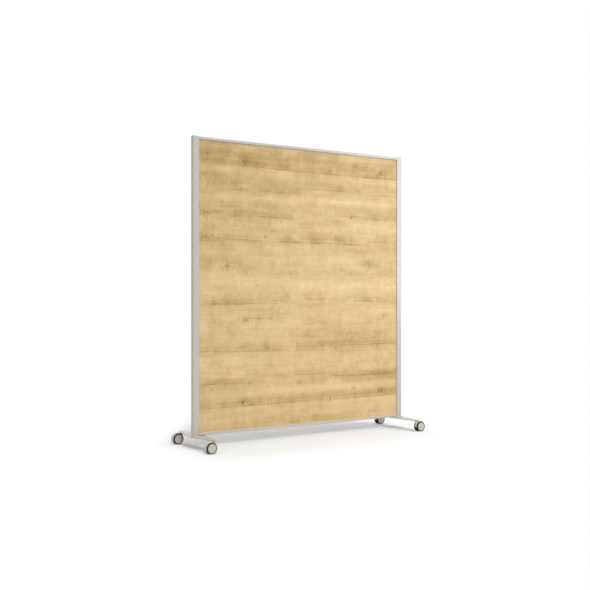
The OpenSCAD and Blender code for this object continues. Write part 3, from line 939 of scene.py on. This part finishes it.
    def knots(self, graph: Graph, here: Socket) -> tuple[Socket, Socket, Socket]:
        """Lays the knots.

        Args:
            graph: the material's nodes.
            here: the point, already shaken so that no knot is a clean oval.

        Returns:
            The share of the core's colour, the darkness of the halo, and how far the grain's
            height is pushed.
        """
        total: Vectorlike = (0.0, 0.0, 0.0)
        for knot in KNOTS:
            oval = Patch(knot.x, knot.z, knot.size, knot.size * self.knot_flatness)
            offset, near = self.bell(graph, here, oval)
            above = graph.vector("DOT_PRODUCT", offset, (0.0, 0.0, 1.0))
            push = graph.math("MULTIPLY", above, near)
            tight = graph.math("POWER", near, self.knot_tightness)
            weights = (knot.depth, knot.depth, self.knot_push * knot.size)
            total = graph.vector("MULTIPLY_ADD", graph.joined(tight, near, push), weights, total)
        core, halo, bend = graph.parts(total)
        return graph.fade(core, self.core_span, (0.0, self.core_darkness)), halo, bend

    def marks(self, graph: Graph, here: Socket) -> tuple[Socket, Socket]:
        """Adds up the soft bands, painted shade among them, and apart from them the late wood.

        Args:
            graph: the material's nodes.
            here: the point.

        Returns:
            The depth of the bands with their painted shade, and the late wood's.
        """
        total: Vectorlike = (0.0, 0.0, 0.0)
        patches = [(band, (band.depth, 0.0, 0.0)) for band in BANDS_AND_SHADE]
        for streak in STREAKS:
            middle = (streak.start + streak.end) / 2
            half = (streak.end - streak.start) / 2
            line = Patch(middle, streak.z, self.line_reach * half, self.line_half)
            above = Patch(middle, streak.z + self.shade_lift, half, self.shade_half)
            patches.append((line, (0.0, self.line_weight * streak.depth, 0.0)))
            patches.append((above, (0.0, self.shade_weight * streak.depth, 0.0)))
        for patch, weights in patches:
            near = self.bell(graph, here, patch)[1]
            both = graph.joined(near, near, 0.0)
            total = graph.vector("MULTIPLY_ADD", both, weights, total)
        bands_and_shade, streaks, _ = graph.parts(total)
        return bands_and_shade, streaks


class Finish(Enum):
    """The finishes by the record's material slots."""

    BOARD = "oak_board"
    METAL = "frame_metal"
    CAP = "cap_plastic"
    HOUSING = "housing_plastic"
    RIM = "rim_plastic"
    TYRE = "tyre_rubber"
    STEEL = "steel"


Recipe = Union[OakVeneer, PowderCoat, MouldedPlastic, TyreRubber, ZincSteel]

FINISHES: dict[Finish, Recipe] = {
    Finish.BOARD: OakVeneer(),
    Finish.METAL: PowderCoat(),
    Finish.CAP: MouldedPlastic("warm_grey_cap", linear(178, 173, 163), linear(172, 167, 156)),
    Finish.HOUSING: MouldedPlastic("light_grey_housing", linear(184, 181, 175), linear(178, 174, 168)),
    Finish.RIM: MouldedPlastic("dark_rim", linear(60, 60, 60), linear(50, 50, 51), (0.50, 0.58)),
    Finish.TYRE: TyreRubber(),
    Finish.STEEL: ZincSteel(),
}


SLOTS: dict[str, Finish] = {
    row["node"]: Finish(row["material_slot"]) for row in frame["record"]["subparts"]
}


@dataclass
class Paintshop:
    """Keeps one material per finish."""

    made: dict[Finish, bpy.types.Material] = field(default_factory=dict)

    def material(self, finish: Finish) -> bpy.types.Material:
        """Gives the material of a finish, built the first time that it is asked for.

        Args:
            finish: the finish.

        Returns:
            Its material.
        """
        if finish not in self.made:
            self.made[finish] = FINISHES[finish].material()
        return self.made[finish]


# ---------------------------------------------------------------- sub-assemblies

SEAM = 1e-6
"""Points of a plate's copy that lie closer together than this are merged."""

FLAT_ANGLE = math.radians(0.2)
"""Triangles of a plate's copy that meet at a smaller angle than this are one flat face."""

SQUARE_ANGLE = 1.2
"""An edge can be rounded where its faces meet at a larger angle than this, in radians."""

ROUNDING_SPANS = 4
"""Spans of a rounded edge."""


class Side(Enum):
    """The two sides of the board, with their direction along X."""

    LEFT = -1.0
    RIGHT = 1.0

    @property
    def word(self) -> str:
        """The side's word in the names of nodes."""
        return self.name.lower()


class Corner(Enum):
    """The four castors, with their directions along X and Y."""

    FRONT_LEFT = (-1.0, -1.0)
    FRONT_RIGHT = (1.0, -1.0)
    BACK_LEFT = (-1.0, 1.0)
    BACK_RIGHT = (1.0, 1.0)

    @property
    def word(self) -> str:
        """The corner's words in the names of nodes."""
        return self.name.lower()


class Turn(Enum):
    """The two wheels of a castor, with the direction of their outer face along Y."""

    FORE = -1.0
    AFT = 1.0

    @property
    def word(self) -> str:
        """The wheel's word in the names of nodes."""
        return self.name.lower()


@dataclass
class Assembly:
    """A sub-assembly: it dresses nodes of the frame and stands finer pieces in for some of them."""

    shop: Paintshop

    def dress(self, *nodes: str) -> None:
        """Gives nodes of the frame the material of their slot in the record.

        Args:
            nodes: the names of the nodes.
        """
        for node in nodes:
            mesh = frame["nodes"][node].data
            mesh.materials.clear()
            mesh.materials.append(self.shop.material(SLOTS[node]))
            LOG.info("%s is dressed", node)

    def stand_in(self, mesh: bpy.types.Mesh, body: str, node: str) -> bpy.types.Object:
        """Makes a mesh the piece that is shown for a node.

        Args:
            mesh: the finished mesh, in the object's own frame; the piece takes its name.
            body: the body that the piece moves with.
            node: the node that it stands for, whose slot gives the material.

        Returns:
            The piece.
        """
        finish = SLOTS[node]
        piece = bpy.data.objects.new(mesh.name, mesh)
        bpy.context.scene.collection.objects.link(piece)
        mesh.materials.clear()
        mesh.materials.append(self.shop.material(finish))
        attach(piece, body)
        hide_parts(node)
        LOG.info("%s stands for %s on %s", piece.name, node, body)
        return piece

    def softened(self, node: str, name: str, radius: float, chosen: EdgeTest) -> bpy.types.Object:
        """Stands in for a plate with a copy whose chosen edges are rounded.

        The copy's loose triangles are merged first. An edge is rounded if the test accepts both of
        its ends and it lies between two faces that stand square to each other.

        Args:
            node: the plate's node, on the root body.
            name: the piece's name.
            radius: the radius of the rounded edges.
            chosen: says of an array of points which lie on an edge to round.

        Returns:
            The piece.
        """
        net = bmesh.new()
        net.from_mesh(frame["nodes"][node].data)
        bmesh.ops.remove_doubles(net, verts=net.verts, dist=SEAM)
        bmesh.ops.dissolve_limit(net, angle_limit=FLAT_ANGLE, verts=net.verts, edges=net.edges)
        square = np.array(
            [len(e.link_faces) == 2 and e.calc_face_angle() > SQUARE_ANGLE for e in net.edges]
        )
        mesh = bpy.data.meshes.new(name)
        net.to_mesh(mesh)
        net.free()
        points = np.empty(3 * len(mesh.vertices))
        mesh.vertices.foreach_get("co", points)
        ends = np.empty(2 * len(mesh.edges), dtype=np.int32)
        mesh.edges.foreach_get("vertices", ends)
        accepted = chosen(points.reshape(-1, 3))[ends.reshape(-1, 2)].all(axis=1) & square
        weights = mesh.attributes.new("bevel_weight_edge", "FLOAT", "EDGE")
        weights.data.foreach_set("value", accepted.astype(np.float32))
        mesh.shade_smooth()
        mesh.set_sharp_from_angle(angle=SMOOTH_ANGLE)
        piece = self.stand_in(mesh, "root", node)
        bevel = piece.modifiers.new("rounded_edges", "BEVEL")
        bevel.limit_method = "WEIGHT"
        bevel.width = radius
        bevel.segments = ROUNDING_SPANS
        bevel.harden_normals = False
        return piece


@dataclass
class BoardFrame(Assembly):
    """The board in its frame: two posts with caps, two rails, and the hidden brackets and screws.

    The screws that come up through the foot plates are dressed with it.
    """

    top: float = 1.85
    cap_edge: float = 0.0007
    tolerance: float = 1e-5

    def build(self) -> None:
        """Dresses the frame and rounds the upper edge of the post caps."""
        self.dress("panel_board", "top_rail", "bottom_rail", "left_post", "right_post")
        self.dress("corner_brackets", "bracket_screws", "foot_screws")
        for side in Side:
            name = f"{side.word}_post_cap"
            self.softened(name, f"{name}_rounded", self.cap_edge, self.on_top)

    def on_top(self, points: np.ndarray) -> np.ndarray:
        """Says which points lie on the top face of a cap."""
        return points[:, 2] > self.top - self.tolerance


@dataclass
class FootPlate(Assembly):
    """A boat-shaped foot plate with softened edges."""

    side: Side
    middle_x: float = 0.765
    stem_y: float = 0.21
    screw_x: float = 0.787
    screw_y: float = 0.00875
    hole_reach: float = 0.008
    edge: float = 0.0009

    def build(self) -> None:
        """Rounds the outline of the plate above and below; its holes keep their edges."""
        name = f"{self.side.word}_foot_plate"
        self.softened(name, f"{name}_rounded", self.edge, self.on_outline)

    def on_outline(self, points: np.ndarray) -> np.ndarray:
        """Says which points lie on the outline, away from every hole.

        Args:
            points: rows of coordinates.

        Returns:
            True where the distance to the middle of each hole is more than a hole reaches.
        """
        across = np.abs(points[:, 0:1]) - np.array([self.middle_x, self.screw_x])
        along = np.abs(points[:, 1:2]) - np.array([self.stem_y, self.screw_y])
        return (np.hypot(across, along) > self.hole_reach).all(axis=1)


@dataclass
class Wheel(Assembly):
    """A wheel of a castor: cast tyre, moulded centre and the domed cap that is snapped into it.

    Distances out are measured along the axle from the middle plane of the castor.
    """

    corner: Corner
    turn: Turn
    middle: Triple
    tyre_in: float = 0.0095
    tyre_out: float = 0.0205
    seat_radius: float = 0.027
    bead_in: float = 0.0002
    bead_out: float = 0.0003
    tread_radius: float = 0.0325
    shoulder: float = 0.0035
    mould_line: float = 0.0001
    mould_half: float = 0.0004
    mould_reach: float = 3.0
    cap_radius: float = 0.0267
    cap_seat: float = 0.018
    dome: float = 0.0008
    rim_round: float = 0.0006
    groove_radius: float = 0.021
    groove_half: float = 0.0004
    groove_depth: float = 0.00035
    skirt_radius: float = 0.0239
    skirt_wall: float = 0.0015
    skirt_end: float = 0.0154
    face_spans: int = 39
    edge_spans: int = 8
    line_spans: int = 12

    def build(self) -> None:
        """Dresses the moulded centre and stands the turned tyre and cap in for theirs."""
        stem = f"{self.corner.word}_{self.turn.word}"
        self.dress(f"{stem}_rim")
        for part, profile, closed in (
            ("tyre", self.tyre_profile(), True), ("cap", self.cap_profile(), False)
        ):
            grid = turned(profile, self.middle, self.turn.value, closed)
            mesh = grid_mesh(f"{stem}_{part}_turned", grid)
            self.stand_in(mesh, f"{stem}_wheel", f"{stem}_{part}")

    def tyre_profile(self) -> np.ndarray:
        """Draws the section of the tyre.

        It is a rectangle with round shoulders. The tread carries a mould line in the middle, whose
        height over the tread falls off as exp(-(distance / half width) squared).

        Returns:
            Rows of (distance out, radius), a closed outline.
        """
        flat = self.tread_radius - self.mould_line
        corners = np.array(
            [
                [self.tyre_in, self.seat_radius], [self.tyre_in, flat],
                [self.tyre_out, flat], [self.tyre_out, self.seat_radius],
            ]
        )
        radii = np.array([self.bead_in, self.shoulder, self.shoulder, self.bead_out])
        arcs = rounded(corners, radii)
        offset = np.linspace(-self.mould_reach, self.mould_reach, self.line_spans + 1)
        line = np.column_stack(
            [
                (self.tyre_in + self.tyre_out) / 2 + offset * self.mould_half,
                flat + self.mould_line * np.exp(-(offset**2)),
            ]
        )
        half = len(arcs) // 2
        return np.vstack([arcs[:half], line, arcs[half:]])

    def cap_profile(self) -> np.ndarray:
        """Draws the section of the cap.

        The face falls by the dome's height from the middle to the edge, as the square of the radius,
        and dips by the groove's depth times 1 - (distance from the groove / its half width) squared
        within the groove. A quarter of a circle turns it down to the edge.

        Returns:
            Rows of (distance out, radius) from the middle of the face to the middle of the back.
        """
        near = self.groove_radius + np.linspace(-1.0, 1.0, self.line_spans + 1) * self.groove_half
        flat_end = self.cap_radius - self.rim_round
        radius = np.union1d(np.linspace(0.0, flat_end, self.face_spans + 1), near)
        dip = np.clip(1 - ((radius - self.groove_radius) / self.groove_half) ** 2, 0.0, 1.0)
        out = self.tyre_out - self.dome * (radius / self.cap_radius) ** 2 - self.groove_depth * dip
        turn = np.linspace(0.0, np.pi / 2, self.edge_spans + 1)[1:]
        edge = np.column_stack(
            [
                out[-1] + self.rim_round * (np.cos(turn) - 1),
                self.cap_radius + self.rim_round * (np.sin(turn) - 1),
            ]
        )
        inner = self.skirt_radius - self.skirt_wall
        back = np.array(
            [
                [self.cap_seat, self.cap_radius], [self.cap_seat, self.skirt_radius],
                [self.skirt_end, self.skirt_radius], [self.skirt_end, inner],
                [self.cap_seat, inner], [self.cap_seat, 0.0],
            ]
        )
        return np.vstack([np.column_stack([out, radius]), edge, back])


@dataclass
class Castor(Assembly):
    """A hooded castor: the housing with its stem, snap ring and axle, and two wheels."""

    corner: Corner
    swivel_x: float = 0.765
    swivel_y: float = 0.21
    trail: float = 0.025
    axle_height: float = 0.0325

    def build(self) -> None:
        """Dresses the housing and what holds it, and builds the two wheels.

        At rest the castors trail outwards, away from the middle of the board.
        """
        for part in ("stem", "ring", "housing", "axle", "clips"):
            self.dress(f"{self.corner.word}_castor_{part}")
        across, along = self.corner.value
        middle = (across * (self.swivel_x + self.trail), along * self.swivel_y, self.axle_height)
        for turn in Turn:
            Wheel(self.shop, self.corner, turn, middle).build()


# ---------------------------------------------------------------- stage


@dataclass(frozen=True)
class Lamp:
    """A lamp: its place and the point that it looks at."""

    name: str
    place: Triple
    target: Triple

    def data(self) -> bpy.types.Light:
        """Makes the lamp's data; each kind of lamp has its own."""
        raise NotImplementedError

    def hang(self) -> None:
        """Puts the lamp in the scene, turned to its target."""
        light = bpy.data.objects.new(self.name, self.data())
        bpy.context.scene.collection.objects.link(light)
        light.location = self.place
        across, along, up = np.array(self.target) - np.array(self.place)
        light.rotation_euler = (math.atan2(math.hypot(across, along), -up), 0.0,
                                math.atan2(-across, along))


@dataclass(frozen=True)
class Softbox(Lamp):
    """A rectangular lamp: its size in metres and its power in watts."""

    width: float
    height: float
    power: float

    def data(self) -> bpy.types.Light:
        """Makes the data of an area lamp.

        Returns:
            The data.
        """
        made = bpy.data.lights.new(self.name, "AREA")
        made.shape = "RECTANGLE"
        made.size, made.size_y = self.width, self.height
        made.energy = self.power
        return made


@dataclass(frozen=True)
class FarLamp(Lamp):
    """A lamp whose light is parallel: its apparent size in degrees and its strength."""

    spread: float
    strength: float

    def data(self) -> bpy.types.Light:
        """Makes the data of a sun lamp.

        Returns:
            The data.
        """
        made = bpy.data.lights.new(self.name, "SUN")
        made.angle = math.radians(self.spread)
        made.energy = self.strength
        return made


@dataclass
class Studio:
    """Pale floor, soft lights and the camera."""

    lamps: tuple[Lamp, ...] = (
        FarLamp("front_key", (-0.7, -3.95, 3.0), (0.0, 0.0, 0.0), 24.0, 1.29),
        Softbox("overhead_softbox", (0.0, -0.5, 4.6), (0.0, -0.3, 0.0), 3.4, 3.2, 88.0),
        Softbox("rear_softbox", (0.0, 0.6, 4.6), (0.0, 0.4, 0.0), 3.4, 3.2, 39.0),
        Softbox("right_softbox", (2.9, -2.5, 1.62), (0.4, 0.0, 1.0), 1.3, 1.9, 34.0),
    )
    floor_half: float = 40.0
    floor_colour: Triple = (0.82, 0.82, 0.82)
    floor_seen: Triple = (0.735, 0.75, 0.765)
    pool_half_x: float = 0.72
    pool_front: float = 0.32
    pool_back: float = 0.25
    pool_slant: float = 0.8
    pool_fade: float = 0.28
    world_light: float = 0.555
    lens: float = 56.35
    sensor: float = 36.0
    shift_y: float = -0.00228
    camera_place: Triple = (-3.333639, -4.862167, 0.916564)
    camera_turn: float = 33.887

    def build(self) -> None:
        """Makes the floor, the lights, the world and the camera."""
        self.floor()
        self.world()
        for lamp in self.lamps:
            lamp.hang()
        self.camera()

    def floor(self) -> None:
        """Lays a wide pale floor that keeps the shadow and shows white to the camera.

        The floor fades to white with the distance from the pool of shadow around the object, which
        is as wide as the object in front and narrows behind it. The distance is the length of
        (|x| + slant * (y - back) - half width, -y - front), each term only where it is above 0.
        """
        half = self.floor_half
        mesh = bpy.data.meshes.new("floor")
        corners = [(-half, -half, 0.0), (half, -half, 0.0), (half, half, 0.0), (-half, half, 0.0)]
        mesh.from_pydata(corners, [], [(0, 1, 2, 3)])
        graph = Graph("pale_floor")
        diffuse = graph.node("ShaderNodeBsdfDiffuse")
        seen = looked_at(graph.tree)
        graph.plug(graph.blend(seen, self.floor_colour, self.floor_seen), diffuse.inputs["Color"])
        white = graph.node("ShaderNodeEmission")
        x, y, _ = graph.parts(graph.place())
        behind = graph.math("MAXIMUM", graph.math("SUBTRACT", y, self.pool_back), 0.0)
        wide = graph.math("MULTIPLY_ADD", behind, self.pool_slant, graph.math("ABSOLUTE", x))
        aside = graph.math("MAXIMUM", graph.math("SUBTRACT", wide, self.pool_half_x), 0.0)
        before = graph.math("MAXIMUM", graph.math("MULTIPLY_ADD", y, -1.0, -self.pool_front), 0.0)
        distance = graph.vector("LENGTH", graph.joined(aside, before, 0.0))
        far = graph.fade(distance, (0.0, self.pool_fade))
        both = graph.node("ShaderNodeMixShader")
        graph.plug(graph.math("MULTIPLY", far, seen), both.inputs[0])
        graph.plug(diffuse.outputs[0], both.inputs[1])
        graph.plug(white.outputs[0], both.inputs[2])
        output = graph.node("ShaderNodeOutputMaterial")
        graph.plug(both.outputs[0], output.inputs[0])
        mesh.materials.append(graph.material)
        floor = bpy.data.objects.new("floor", mesh)
        bpy.context.scene.collection.objects.link(floor)

    def world(self) -> None:
        """Fills the world with soft white light, and has it show and mirror as plain white."""
        world = bpy.data.worlds.new("white_studio")
        bpy.context.scene.world = world
        world.use_nodes = True
        tree = world.node_tree
        tree.nodes.clear()
        lift = tree.nodes.new("ShaderNodeMapRange")
        lift.inputs["To Min"].default_value = self.world_light
        lift.inputs["To Max"].default_value = 1.0
        back = tree.nodes.new("ShaderNodeBackground")
        back.inputs["Color"].default_value = (1.0, 1.0, 1.0, 1.0)
        output = tree.nodes.new("ShaderNodeOutputWorld")
        tree.links.new(looked_at(tree), lift.inputs["Value"])
        tree.links.new(lift.outputs[0], back.inputs["Strength"])
        tree.links.new(back.outputs[0], output.inputs[0])

    def camera(self) -> None:
        """Sets the camera at the photograph's place, level and turned to the right."""
        data = bpy.data.cameras.new("camera")
        data.lens = self.lens
        data.sensor_width = self.sensor
        data.shift_y = self.shift_y
        camera = bpy.data.objects.new("camera", data)
        bpy.context.scene.collection.objects.link(camera)
        camera.location = self.camera_place
        camera.rotation_euler = (math.radians(90), 0.0, -math.radians(self.camera_turn))
        bpy.context.scene.camera = camera


def main() -> None:
    """Builds the whole scene."""
    logging.basicConfig(level=logging.INFO)
    scene = bpy.context.scene
    scene.view_settings.view_transform = "Standard"
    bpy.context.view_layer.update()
    shop = Paintshop()
    BoardFrame(shop).build()
    for side in Side:
        FootPlate(shop, side).build()
    for corner in Corner:
        Castor(shop, corner).build()
    Studio().build()


if __name__ == "__main__":
    main()
